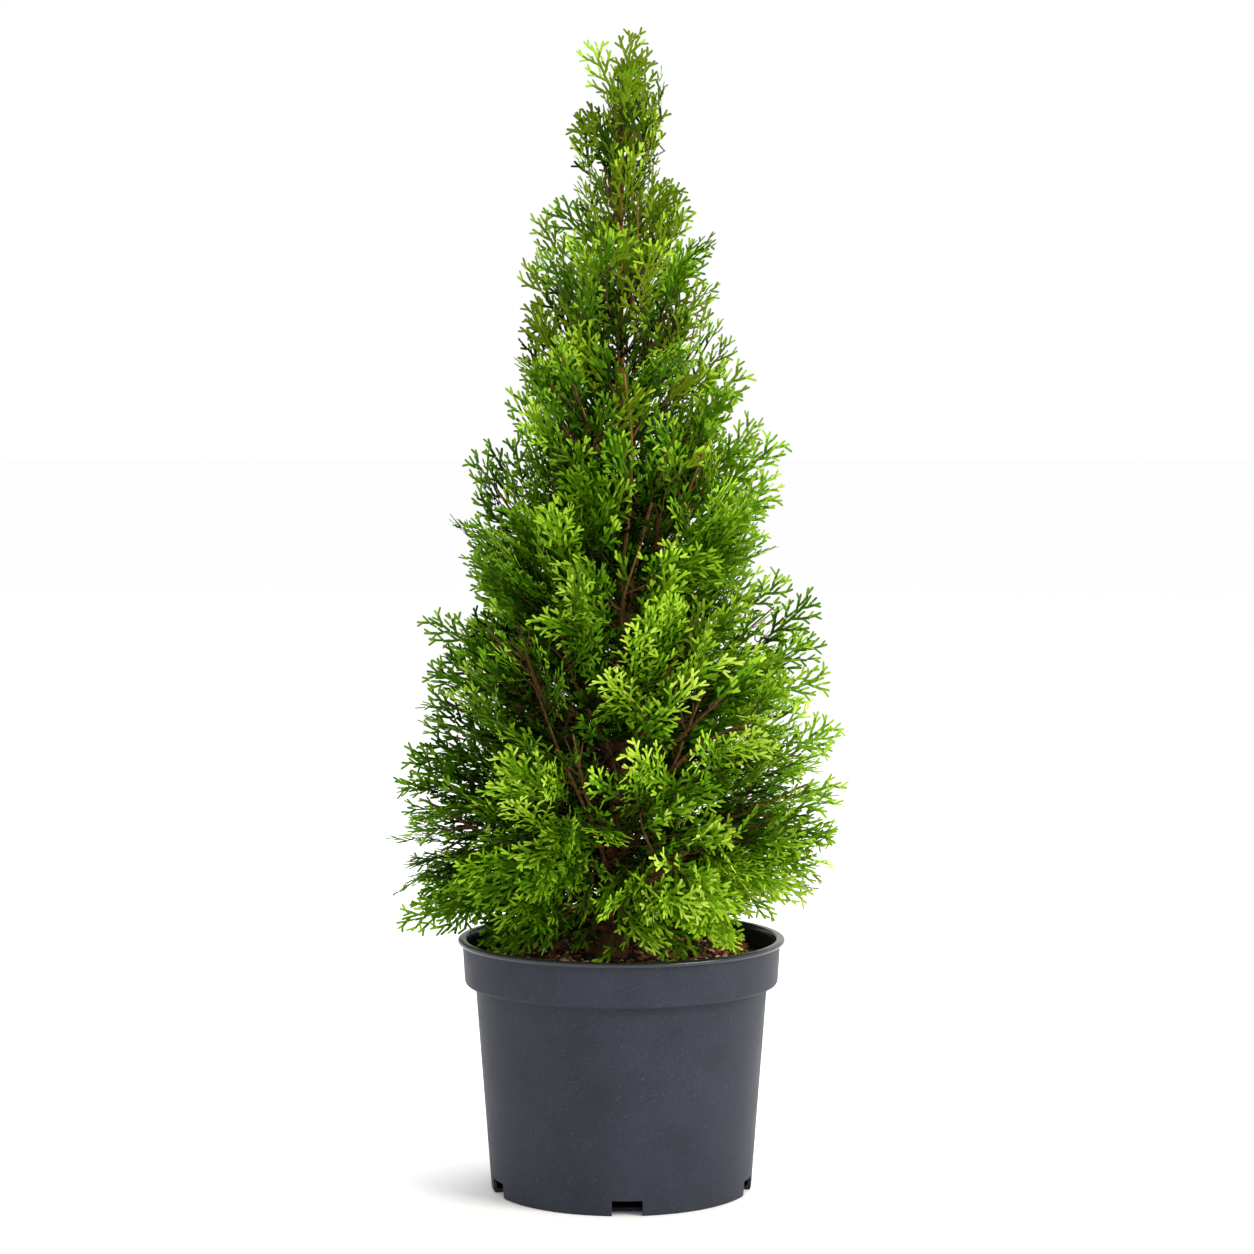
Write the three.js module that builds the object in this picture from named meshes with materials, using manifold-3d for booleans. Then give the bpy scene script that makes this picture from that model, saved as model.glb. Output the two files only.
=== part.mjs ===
// Potted thuja: a young white-cedar cone in a 5-litre nursery pot.
// Millimetres, +Z up. The origin is the centre of the pot's flat underside, and -Y is the front.
import * as THREE from "three";
import { mergeVertices } from "three/addons/utils/BufferGeometryUtils.js";
import Module from "manifold-3d";

// ---------------------------------------------------------------- driving sizes

const totalHeight = 796; // floor to the highest shoot
const gap = 0.4; // clear space between pieces that touch

const pot = {
  lipRadius: 113,
  lipTop: 174.5,
  lipWidth: 6, // the rolled lip, seen from above
  lipThick: 3.2,
  collarRadius: 109.6, // outside, just under the lip
  collarFoot: 143, // height of the collar's lower edge
  collarTaper: 1.6,
  wallTop: 100.6, // outer radius of the wall where it meets the collar
  baseRadius: 90,
  wall: 2,
  floor: 2.5,
  sides: 48,
};

const notch = { count: 5, width: 20.6, height: 10.6, depth: 15, turn: 2.6 }; // drain holes, turned from the front

const soil = { level: 160, ripple: 1.8, calm: 26, rings: 4, sides: 32 };

const trunk = {
  foot: 8.4, // radius above the root flare
  flare: 5.2,
  flareHeight: 26,
  tip: 0.9,
  top: 764,
  lean: 6.5,
  sway: 2.2,
  sides: 10,
  rings: 17,
};

// Height and radius of the foliage cone, from the skirt over the rim to the leader.
const outline = [
  [180, 136],
  [214, 142],
  [242, 164],
  [307, 165],
  [345, 145],
  [391, 144],
  [420, 124],
  [481, 110],
  [525, 105],
  [578, 80],
  [600, 72],
  [642, 71],
  [660, 56],
  [734, 42],
  [768, 27],
  [totalHeight, 11],
];

// How the lobes change with height: angle above level, half-length, and width for its length.
const habit = {
  rise: [[190, -18], [240, 0], [300, 18], [400, 38], [520, 54], [640, 66], [750, 74]],
  length: [[190, 68], [300, 88], [420, 86], [560, 80], [680, 68], [750, 56]],
  wide: [[190, 1], [400, 0.98], [560, 0.88], [750, 0.66]],
};

const crown = {
  masses: 24, // main lobes, each on its own bough
  lowest: 196,
  highest: 752,
  crowding: 0.62, // 1 shares the lobes out by the cone's girth, 0 by height alone
  turn: 137.5, // degrees from each lobe to the next, round the trunk
  phase: 147.5,
  bareCore: 0.2, // share of the crown's radius that is only trunk and boughs
  point: 1.5, // 2 is an egg, 1 a spindle
  detail: 2,
};

// Short sprays hanging inside the rim.
const skirt = { masses: 4, reach: 90, height: 176, length: 30, droop: -14, core: 24, phase: 246, turn: 78 };

const bough = { rootShare: 0.5, tipShare: 0.55, least: 1.1, sides: 6, rings: 4, bury: 9 };

const colours = {
  pot: 0x44464b,
  soil: 0x4a2c1c,
  bark: 0x6f4a2f,
  bough: 0x7c4a26,
  foliage: 0x3f7a1c,
  fresh: 0x7fb233,
};

// ---------------------------------------------------------------- small tools

const wasm = await Module();
wasm.setup();

function seeded(seed) {
  let state = seed >>> 0;
  return () => {
    state = (state + 0x6d2b79f5) >>> 0;
    let t = Math.imul(state ^ (state >>> 15), 1 | state);
    t = (t + Math.imul(t ^ (t >>> 7), 61 | t)) ^ t;
    return ((t ^ (t >>> 14)) >>> 0) / 4294967296;
  };
}

function onTable(rows, x) {
  const last = rows.length - 1;
  if (x <= rows[0][0]) return rows[0][1];
  for (let i = 0; i < last; i++) {
    const [x0, y0] = rows[i];
    const [x1, y1] = rows[i + 1];
    if (x <= x1) return THREE.MathUtils.lerp(y0, y1, (x - x0) / (x1 - x0));
  }
  return rows[last][1];
}

function solidOf(geometry) {
  const bare = new THREE.BufferGeometry();
  bare.setAttribute("position", geometry.getAttribute("position").clone());
  if (geometry.index) bare.setIndex(geometry.index.clone());
  const merged = mergeVertices(bare, 1e-3);
  const corners = new Uint32Array(merged.index.array);
  return new wasm.Manifold(
    new wasm.Mesh({
      numProp: 3,
      vertProperties: merged.getAttribute("position").array,
      triVerts: corners,
    }),
  );
}

function geometryOf(solid) {
  const mesh = solid.getMesh();
  const places = new Float32Array(mesh.numVert * 3);
  for (let i = 0; i < mesh.numVert; i++) {
    places.set(mesh.vertProperties.subarray(i * mesh.numProp, i * mesh.numProp + 3), i * 3);
  }
  const geometry = new THREE.BufferGeometry();
  geometry.setAttribute("position", new THREE.BufferAttribute(places, 3));
  geometry.setIndex(new THREE.BufferAttribute(new Uint32Array(mesh.triVerts), 1));
  geometry.computeVertexNormals();
  return geometry;
}

// A cut can leave crumbs: the piece is its largest body.
function largest(solid) {
  const bodies = solid.decompose();
  bodies.sort((a, b) => b.volume() - a.volume());
  return bodies[0];
}

// A closed surface from rings of points with the same count, flat at both ends.
function skin(rings) {
  const count = rings[0].length;
  const places = [];
  const faces = [];
  for (const ring of rings) {
    for (const p of ring) places.push(p.x, p.y, p.z);
  }
  for (let r = 0; r + 1 < rings.length; r++) {
    for (let i = 0; i < count; i++) {
      const a = r * count + i;
      const b = r * count + ((i + 1) % count);
      faces.push(a, b, b + count, a, b + count, a + count);
    }
  }
  for (const [ring, flip] of [[0, true], [rings.length - 1, false]]) {
    const centre = rings[ring].reduce((sum, p) => sum.add(p), new THREE.Vector3()).divideScalar(count);
    const hub = places.length / 3;
    places.push(centre.x, centre.y, centre.z);
    for (let i = 0; i < count; i++) {
      const a = ring * count + i;
      const b = ring * count + ((i + 1) % count);
      faces.push(...(flip ? [b, a, hub] : [a, b, hub]));
    }
  }
  const geometry = new THREE.BufferGeometry();
  geometry.setAttribute("position", new THREE.BufferAttribute(new Float32Array(places), 3));
  geometry.setIndex(faces);
  return geometry;
}

// A tapering limb round a curve: radiusAt(share) is its radius along the way.
function limb(curve, radiusAt, sides, count) {
  const frames = curve.computeFrenetFrames(count, false);
  const rings = [];
  for (let r = 0; r <= count; r++) {
    const centre = curve.getPointAt(r / count);
    const radius = radiusAt(r / count);
    const ring = [];
    for (let i = 0; i < sides; i++) {
      const a = (i / sides) * 2 * Math.PI;
      ring.push(
        centre
          .clone()
          .addScaledVector(frames.normals[r], Math.cos(a) * radius)
          .addScaledVector(frames.binormals[r], Math.sin(a) * radius),
      );
    }
    rings.push(ring);
  }
  return skin(rings);
}

// ---------------------------------------------------------------- pot

// Outline of the pot's wall from the centre of the underside, up the outside and down the inside.
function potProfile() {
  const p = pot;
  const collarLow = p.collarRadius - p.collarTaper;
  const points = [
    [0, 0],
    [p.baseRadius - 1.2, 0],
    [p.baseRadius, 1.2],
    [p.wallTop, p.collarFoot - 2],
    [collarLow - 1.8, p.collarFoot],
    [collarLow, p.collarFoot + 2.4],
    [p.collarRadius, p.lipTop - p.lipThick - 1],
    [p.lipRadius - 0.9, p.lipTop - p.lipThick],
    [p.lipRadius, p.lipTop - p.lipThick * 0.5],
    [p.lipRadius - 0.9, p.lipTop - 0.3],
    [p.lipRadius - p.lipWidth * 0.55, p.lipTop],
    [p.lipRadius - p.lipWidth, p.lipTop - 0.7],
    [p.collarRadius - p.wall - 1.8, p.lipTop - p.lipThick - 1],
    [collarLow - p.wall - 0.6, p.collarFoot + 1.4],
    [p.wallTop - p.wall, p.collarFoot - 1.2],
    [p.baseRadius - p.wall, p.floor],
    [0, p.floor],
  ];
  return points.map(([x, y]) => new THREE.Vector2(x, y));
}

function turned(profile, sides) {
  const lathe = new THREE.LatheGeometry(profile, sides);
  lathe.deleteAttribute("normal");
  lathe.deleteAttribute("uv");
  return lathe.rotateX(Math.PI / 2);
}

// The drain holes break through the corner between wall and floor.
function notchCutters(extra) {
  const cutters = [];
  for (let i = 0; i < notch.count; i++) {
    const angle = THREE.MathUtils.degToRad(notch.turn - 90 + (i * 360) / notch.count);
    const outer = pot.baseRadius + 8;
    const inner = pot.baseRadius - notch.depth - extra;
    const box = new THREE.BoxGeometry(outer - inner, notch.width + 2 * extra, 2 * (notch.height + extra));
    box.translate((outer + inner) / 2, 0, 0);
    box.rotateZ(angle);
    cutters.push(solidOf(box));
  }
  return cutters.reduce((sum, cutter) => sum.add(cutter));
}

function potSolid() {
  return solidOf(turned(potProfile(), pot.sides)).subtract(notchCutters(0));
}

// ---------------------------------------------------------------- soil

function soilSurface(x, y) {
  const r = Math.hypot(x, y);
  const calm = THREE.MathUtils.smoothstep(r, soil.calm, soil.calm * 2);
  const wave =
    Math.sin(x * 0.071 + 1.3) * Math.cos(y * 0.083 - 0.4) + 0.6 * Math.sin(x * 0.16 - y * 0.13);
  return soil.level + calm * soil.ripple * (wave / 1.6);
}

// The root ball fills the pot to just under the rim, a hair inside its wall.
function soilSolid() {
  const p = pot;
  const outer = [
    [0, p.floor + gap],
    [p.baseRadius - p.wall - gap - 0.4, p.floor + gap],
    [p.wallTop - p.wall - gap - 0.4, p.collarFoot - 1.4],
    [p.collarRadius - p.collarTaper - p.wall - 1.4, p.collarFoot + 2.6],
  ];
  const edge = p.collarRadius - p.wall - 2.8;
  const rings = [];
  const ringAt = (radius, heightAt) => {
    const ring = [];
    for (let i = 0; i < soil.sides; i++) {
      const a = (i / soil.sides) * 2 * Math.PI;
      const x = radius * Math.cos(a);
      const y = radius * Math.sin(a);
      ring.push(new THREE.Vector3(x, y, heightAt(x, y)));
    }
    return ring;
  };
  for (const [radius, height] of outer.slice(1)) rings.push(ringAt(radius, () => height));
  for (let i = 0; i < soil.rings; i++) {
    rings.push(ringAt(edge * Math.pow(1 - i / soil.rings, 0.8), soilSurface));
  }
  return solidOf(skin(rings)).subtract(notchCutters(gap));
}

// ---------------------------------------------------------------- trunk

function trunkCentre(z) {
  const s = (z - soil.level) / (trunk.top - soil.level);
  const x = -5 + trunk.lean * Math.min(1, s * 1.6) + trunk.sway * Math.sin(s * 2 * Math.PI * 1.15 - 0.7);
  const y = 1.6 * Math.sin(s * 2 * Math.PI * 0.8 + 0.5);
  return new THREE.Vector3(x, y, z);
}

function trunkRadius(z) {
  const s = THREE.MathUtils.clamp((z - soil.level) / (trunk.top - soil.level), 0, 1);
  const above = z - soil.level;
  const flare = trunk.flare * Math.exp((-above / trunk.flareHeight) * 1.6);
  return trunk.tip + (trunk.foot - trunk.tip) * Math.pow(1 - s, 1.15) + flare;
}

// Root flare: a few buttresses that fade out up the stem.
function trunkSolid(grow) {
  const rings = [];
  const foot = soil.level + gap - grow;
  for (let r = 0; r <= trunk.rings; r++) {
    const share = Math.pow(r / trunk.rings, 1.35);
    const z = THREE.MathUtils.lerp(foot, trunk.top + grow, share);
    const centre = trunkCentre(z);
    const buttress = 0.17 * Math.exp(-(z - foot) / trunk.flareHeight);
    const ring = [];
    for (let i = 0; i < trunk.sides; i++) {
      const a = (i / trunk.sides) * 2 * Math.PI;
      const radius = trunkRadius(z) * (1 + buttress * Math.cos(4 * a + 0.6)) + grow;
      ring.push(new THREE.Vector3(centre.x + radius * Math.cos(a), centre.y + radius * Math.sin(a), z));
    }
    rings.push(ring);
  }
  return solidOf(skin(rings));
}

// ---------------------------------------------------------------- crown

function crownRadius(z) {
  return onTable(outline, z);
}

// Lobes are spaced so that each covers about the same area of the cone.
function heightAtShare(share) {
  const steps = 200;
  const step = (crown.highest - crown.lowest) / steps;
  const girths = [];
  for (let i = 0; i < steps; i++) {
    girths.push(Math.pow(crownRadius(crown.lowest + (i + 0.5) * step), crown.crowding));
  }
  const total = girths.reduce((sum, girth) => sum + girth, 0);
  let sum = 0;
  const at = girths.findIndex((girth) => (sum += girth) >= share * total);
  return crown.lowest + (at + 0.5) * step;
}

// Where each lobe's tip is, how far back its middle lies, and how wide it is.
function mainLobes() {
  const chance = seeded(41);
  const lobes = [];
  for (let i = 0; i < crown.masses; i++) {
    const share = (i + 0.5) / crown.masses;
    const z = heightAtShare(share);
    const radius = crownRadius(z) * (0.97 + 0.07 * chance());
    const angle = THREE.MathUtils.degToRad(crown.phase + i * crown.turn + (chance() - 0.5) * 10);
    const rise = THREE.MathUtils.degToRad(onTable(habit.rise, z));
    const length = onTable(habit.length, z);
    const wide = onTable(habit.wide, z);
    const name = `foliage_${String(i + 1).padStart(2, "0")}`;
    lobes.push({ name, z, radius, angle, rise, length, wide, deep: wide * 0.92 });
  }
  return lobes;
}

function skirtLobes() {
  const chance = seeded(7);
  const lobes = [];
  for (let i = 0; i < skirt.masses; i++) {
    const angle = THREE.MathUtils.degToRad(skirt.phase + i * skirt.turn + (chance() - 0.5) * 14);
    const radius = skirt.reach * (0.92 + 0.16 * chance());
    const rise = THREE.MathUtils.degToRad(skirt.droop);
    const name = `skirt_foliage_${i + 1}`;
    const { height: z, length } = skirt;
    lobes.push({ name, z, radius, angle, rise, length, wide: 1, deep: 0.7, low: true });
  }
  return lobes;
}

function placed(lobe) {
  const out = new THREE.Vector3(Math.cos(lobe.angle), Math.sin(lobe.angle), 0);
  const along = out
    .clone()
    .multiplyScalar(Math.cos(lobe.rise))
    .setZ(Math.sin(lobe.rise));
  const side = new THREE.Vector3(-out.y, out.x, 0);
  const tip = out.clone().multiplyScalar(lobe.radius).setZ(lobe.z);
  const centre = tip.clone().addScaledVector(along, -lobe.length);
  return { ...lobe, out, along, side, up: along.clone().cross(side).negate(), tip, centre };
}

// Planes that keep a mass in its own cell: half way to each neighbour, outside the bare core and above the soil.
function cellOf(lobe, all) {
  const planes = [];
  for (const other of all) {
    if (other === lobe) continue;
    const across = other.centre.clone().sub(lobe.centre);
    const distance = across.length();
    const shift = (lobe.length ** 2 - other.length ** 2) * 0.1;
    planes.push({
      normal: across.divideScalar(distance),
      reach: distance / 2 + shift / (2 * distance) - gap,
    });
  }
  if (!lobe.leader) {
    const core = lobe.low ? skirt.core : crown.bareCore * crownRadius(lobe.centre.z);
    const inward = lobe.out.clone().negate();
    planes.push({ normal: inward, reach: lobe.centre.dot(lobe.out) - core });
  }
  const floor = lobe.low ? soil.level + soil.ripple + 1.5 : pot.lipTop + 4;
  planes.push({ normal: new THREE.Vector3(0, 0, -1), reach: lobe.centre.z - floor });
  return planes;
}

// The point that far out along a ray, drawn back until the cone's outline holds it.
function withinOutline(centre, direction, far) {
  const at = (distance) => centre.clone().addScaledVector(direction, distance);
  const inside = (p) => Math.hypot(p.x, p.y) <= crownRadius(p.z);
  if (inside(at(far))) return at(far);
  let near = 0;
  for (let i = 0; i < 12; i++) {
    const middle = (near + far) / 2;
    if (inside(at(middle))) near = middle;
    else far = middle;
  }
  return at(near);
}

// One uneven flame of foliage: long towards its tip, cut flat where it meets its neighbours.
function massSolid(lobe, planes, seed, grow) {
  const chance = seeded(seed);
  const waves = [];
  for (let i = 0; i < 5; i++) {
    const dir = new THREE.Vector3(chance() - 0.5, chance() - 0.5, chance() - 0.5).normalize();
    waves.push({ dir, pitch: 3 + 5 * chance(), phase: chance() * 6.28 });
  }
  const ball = new THREE.IcosahedronGeometry(1, lobe.low ? 1 : crown.detail);
  ball.deleteAttribute("normal");
  ball.deleteAttribute("uv");
  const round = mergeVertices(ball, 1e-4);
  const places = round.getAttribute("position");
  const d = new THREE.Vector3();
  for (let i = 0; i < places.count; i++) {
    d.fromBufferAttribute(places, i).normalize();
    const u = d.dot(lobe.along);
    const v = d.dot(lobe.side);
    const w = d.dot(lobe.up);
    const power = u > 0 ? crown.point : 2;
    const sum = Math.abs(u) ** power + Math.abs(v / lobe.wide) ** power + Math.abs(w / lobe.deep) ** power;
    let radius = lobe.length / sum ** (1 / power);
    radius *= 1 + waves.reduce((sum, k) => sum + 0.035 * Math.sin(k.pitch * k.dir.dot(d) + k.phase), 0);
    for (const plane of planes) {
      const facing = plane.normal.dot(d);
      if (facing > 1e-6) radius = Math.min(radius, plane.reach / facing);
    }
    const p = withinOutline(lobe.centre, d, radius);
    places.setXYZ(i, ...p.addScaledVector(d, grow));
  }
  return solidOf(round);
}

// A bough leaves the trunk below its mass, climbs and bends outwards into it.
function boughCurve(lobe) {
  const drop = lobe.low ? 6 : lobe.length * 0.5 + lobe.radius * 0.24;
  const root = Math.max(lobe.centre.z - drop, soil.level + 14);
  const start = trunkCentre(root);
  const end = lobe.centre.clone().addScaledVector(lobe.along, bough.bury - lobe.length * 0.45);
  const knee = start.clone().lerp(end, 0.45);
  knee.z += lobe.low ? 3 : 5;
  return new THREE.CatmullRomCurve3([start, knee, end]);
}

function boughSolid(lobe, grow) {
  const curve = boughCurve(lobe);
  const root = Math.max(bough.least, bough.rootShare * trunkRadius(curve.getPoint(0).z + 30));
  const radiusAt = (share) => Math.max(bough.least, root * (1 - share * (1 - bough.tipShare))) + grow;
  return solidOf(limb(curve, radiusAt, bough.sides, bough.rings));
}

// ---------------------------------------------------------------- assembly

function piece(name, solid, colour, roughness) {
  const material = new THREE.MeshStandardMaterial({ color: colour, roughness, metalness: 0, flatShading: true });
  const mesh = new THREE.Mesh(geometryOf(solid), material);
  mesh.name = name;
  return mesh;
}

function build() {
  const plant = new THREE.Group();
  plant.name = "potted_thuja";
  plant.add(piece("pot", potSolid(), colours.pot, 0.55));
  plant.add(piece("potting_soil", soilSolid(), colours.soil, 0.95));
  plant.add(piece("trunk", trunkSolid(0), colours.bark, 0.85));

  const leader = {
    name: "foliage_leader",
    z: totalHeight + 5,
    radius: 3,
    angle: 0,
    rise: Math.PI / 2,
    length: 60,
    wide: 0.5,
    deep: 0.5,
    leader: true,
  };
  const all = [...mainLobes(), ...skirtLobes(), leader].map(placed);
  const stem = trunkSolid(gap);

  const cells = all.map((lobe) => cellOf(lobe, all));
  const sticks = new Map();
  let taken = stem;
  all.forEach((lobe, i) => {
    if (lobe.leader) return;
    const room = massSolid(lobe, cells[i], 100 + i, gap);
    sticks.set(lobe, largest(boughSolid(lobe, 0).subtract(taken).subtract(room)));
    taken = taken.add(boughSolid(lobe, gap).subtract(room));
  });
  all.forEach((lobe, i) => {
    const mass = largest(massSolid(lobe, cells[i], 100 + i, 0).subtract(taken));
    if (!lobe.leader) {
      plant.add(piece(lobe.name.replace("foliage", "bough"), sticks.get(lobe), colours.bough, 0.8));
    }
    plant.add(piece(lobe.name, mass, lobe.leader ? colours.fresh : colours.foliage, 0.7));
  });
  return plant;
}

export default build();
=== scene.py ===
import math

import bpy
import bmesh
import numpy as np
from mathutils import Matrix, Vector
from mathutils.bvhtree import BVHTree


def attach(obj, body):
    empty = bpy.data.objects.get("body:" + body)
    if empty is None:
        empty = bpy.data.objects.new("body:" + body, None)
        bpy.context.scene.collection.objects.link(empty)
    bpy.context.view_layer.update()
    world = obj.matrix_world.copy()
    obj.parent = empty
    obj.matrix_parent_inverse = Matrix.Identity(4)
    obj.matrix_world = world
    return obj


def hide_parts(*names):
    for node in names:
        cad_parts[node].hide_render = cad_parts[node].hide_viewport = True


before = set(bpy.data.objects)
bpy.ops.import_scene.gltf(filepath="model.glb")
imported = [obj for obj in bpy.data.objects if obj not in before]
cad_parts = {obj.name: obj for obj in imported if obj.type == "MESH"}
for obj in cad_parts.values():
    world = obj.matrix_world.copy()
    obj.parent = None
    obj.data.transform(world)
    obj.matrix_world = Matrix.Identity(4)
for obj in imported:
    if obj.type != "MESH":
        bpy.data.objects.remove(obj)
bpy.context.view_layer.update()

mm = 0.001
up = np.array([0.0, 0.0, 1.0])
masses = sorted(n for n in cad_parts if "foliage" in n)
boughs = sorted(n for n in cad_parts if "bough" in n)


# small tools

def linear(hexColour):
    # sRGB hex to the linear colour that shaders use
    parts = [int(hexColour[i:i + 2], 16) / 255 for i in (1, 3, 5)]
    return tuple(c / 12.92 if c <= 0.04045 else ((c + 0.055) / 1.055) ** 2.4 for c in parts) + (1.0,)


def addNode(tree, kind, links=None, stops=None, into=None, **settings):
    # a node, its settings, what goes into its sockets (a value or another node's output), and
    # the socket that its own first output goes into
    node = tree.nodes.new(kind)
    for name, value in settings.items():
        setattr(node, name, value)
    for socket, value in (links or {}).items():
        if isinstance(value, bpy.types.NodeSocket):
            tree.links.new(value, node.inputs[socket])
        else:
            node.inputs[socket].default_value = value
    if stops:
        ramp = node.color_ramp.elements
        while len(ramp) < len(stops):
            ramp.new(0.5)
        for element, (place, colour) in zip(ramp, stops):
            element.position = place
            element.color = colour
    if into:
        tree.links.new(node.outputs[0], into)
    return node


def newMaterial(name, colour, roughness, specular):
    # a material, its nodes, its shader, and the piece's own coordinates for patterns
    made = bpy.data.materials.new(name)
    made.use_nodes = True
    tree = made.node_tree
    shader = tree.nodes["Principled BSDF"]
    shader.inputs["Base Color"].default_value = linear(colour)
    shader.inputs["Roughness"].default_value = roughness
    shader.inputs["Specular IOR Level"].default_value = specular
    return made, tree, shader, addNode(tree, "ShaderNodeTexCoord").outputs["Object"]


def linked(made):
    bpy.context.collection.objects.link(made)
    return made


def meshObject(name, points, faces, material=None, edges=()):
    mesh = bpy.data.meshes.new(name)
    mesh.from_pydata([tuple(p) for p in points], list(edges), [tuple(f) for f in faces])
    mesh.update()
    if material:
        mesh.materials.append(material)
    if faces:
        mesh.polygons.foreach_set("use_smooth", np.ones(len(mesh.polygons), bool))
    return linked(bpy.data.objects.new(name, mesh))


def fromBmesh(name, made):
    mesh = bpy.data.meshes.new(name)
    made.to_mesh(mesh)
    made.free()
    return linked(bpy.data.objects.new(name, mesh))


def finishPiece(piece, nodes=()):
    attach(piece, "root")
    if nodes:
        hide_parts(*nodes)


def unit(v):
    v = np.asarray(v, float)
    return v / np.maximum(np.linalg.norm(v, axis=-1, keepdims=True), 1e-9)


def runAlong(path):
    return np.concatenate([[0], np.cumsum(np.linalg.norm(np.diff(path, axis=0), axis=1))])


def readOff(where, run, values):
    return np.stack([np.interp(where, run, values[:, k]) for k in range(3)], 1)


def cornersOf(name):
    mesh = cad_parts[name].data
    co = np.zeros(len(mesh.vertices) * 3)
    mesh.vertices.foreach_get("co", co)
    return np.unique(np.round(co.reshape(-1, 3), 6), axis=0)


def surfaceOf(names):
    points, faces = [], []
    for name in names:
        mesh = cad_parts[name].data
        first = len(points)
        points += [v.co.copy() for v in mesh.vertices]
        faces += [tuple(first + i for i in p.vertices) for p in mesh.polygons]
    return BVHTree.FromPolygons(points, faces)


def evaluated(source, name, material):
    # the result of the modifiers as a plain mesh of its own
    graph = bpy.context.evaluated_depsgraph_get()
    graph.update()
    mesh = bpy.data.meshes.new_from_object(source.evaluated_get(graph))
    mesh.name = name
    made = linked(bpy.data.objects.new(name, mesh))
    if not mesh.materials:
        mesh.materials.append(material)
    bpy.data.objects.remove(source)
    return made


# camera, light and floor

view = {
    "eye": (3.9 * mm, -2287.6 * mm, 542.3 * mm),
    "lookDown": 3.84,  # degrees
    "lens": 95.8,
    "sensor": 36,
}

camera = linked(bpy.data.objects.new("camera", bpy.data.cameras.new("camera")))
camera.location = view["eye"]
camera.rotation_euler = (math.radians(90 - view["lookDown"]), 0, 0)
camera.data.lens = view["lens"]
camera.data.sensor_width = view["sensor"]
camera.data.clip_end = 60
bpy.context.scene.camera = camera

lights = {
    # name: place in metres, size in metres, power in watts, colour
    "keyRight": ((2.3, -1.5, 1.9), 1.8, 86, "#fffaf2"),
    "topBack": ((0.3, 0.9, 2.6), 1.6, 40, "#ffffff"),
    "warmLeft": ((-2.4, -1.2, 0.7), 1.2, 3, "#ffc896"),
}

middleOfPlant = Vector((0, 0, 0.38))
for name, (place, size, power, colour) in lights.items():
    lamp = bpy.data.lights.new(name, "AREA")
    lamp.shape = "DISK"
    lamp.size = size
    lamp.energy = power
    lamp.color = linear(colour)[:3]
    held = linked(bpy.data.objects.new(name, lamp))
    held.location = place
    aim = middleOfPlant - Vector(place)
    held.rotation_euler = aim.to_track_quat("-Z", "Y").to_euler()

# an even white room all round
world = bpy.data.worlds.new("studio")
world.use_nodes = True
world.node_tree.nodes["Background"].inputs["Color"].default_value = (1, 1, 1, 1)
world.node_tree.nodes["Background"].inputs["Strength"].default_value = 1.0
bpy.context.scene.world = world
bpy.context.scene.view_settings.view_transform = "Standard"

# matt painted board: no shine of its own
floorMaterial = newMaterial("pale studio floor", "#fdfdfd", 0.9, 0.0)[0]
floor = meshObject(
    "floor",
    [(-30, -30, 0), (30, -30, 0), (30, 30, 0), (-30, 30, 0)],
    [(0, 1, 2, 3)],
    floorMaterial,
)


# pot: injection-moulded polypropylene

potShape = {
    # mm
    "lipRadius": 113.0,
    "lipTop": 174.4,
    "lipWidth": 5.8,
    "lipThick": 3.0,
    "collarTop": 109.7,
    "collarFoot": 108.0,
    "collarHeight": 142.8,
    "wallTop": 100.6,
    "baseRadius": 90.0,
    "wall": 2.0,
    "floor": 2.5,
    "sides": 224,
    "sharpFrom": 38,  # degrees
}
notches = {"count": 5, "width": 20.6, "height": 10.6, "depth": 15, "past": 8, "turn": 2.6}
# the lip colour is painted shade: the lip is the same plastic as the rest of the pot
potColours = {"dark": "#2a2d35", "light": "#31353e", "scuff": "#4d525b", "lip": "#1c1f26"}


def rounded(corners, steps=4):
    # a polyline whose corners are rounded to the radius given with each of them
    points = []
    for i, (x, z, radius) in enumerate(corners):
        here = np.array([x, z])
        if radius <= 0 or i in (0, len(corners) - 1):
            points.append(here)
            continue
        before = np.array(corners[i - 1][:2]) - here
        after = np.array(corners[i + 1][:2]) - here
        reach = min(radius, np.linalg.norm(before) * 0.48, np.linalg.norm(after) * 0.48)
        a = here + unit(before) * reach
        b = here + unit(after) * reach
        for k in range(steps + 1):
            t = k / steps
            points.append((1 - t) ** 2 * a + 2 * t * (1 - t) * here + t * t * b)
    return points


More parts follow.
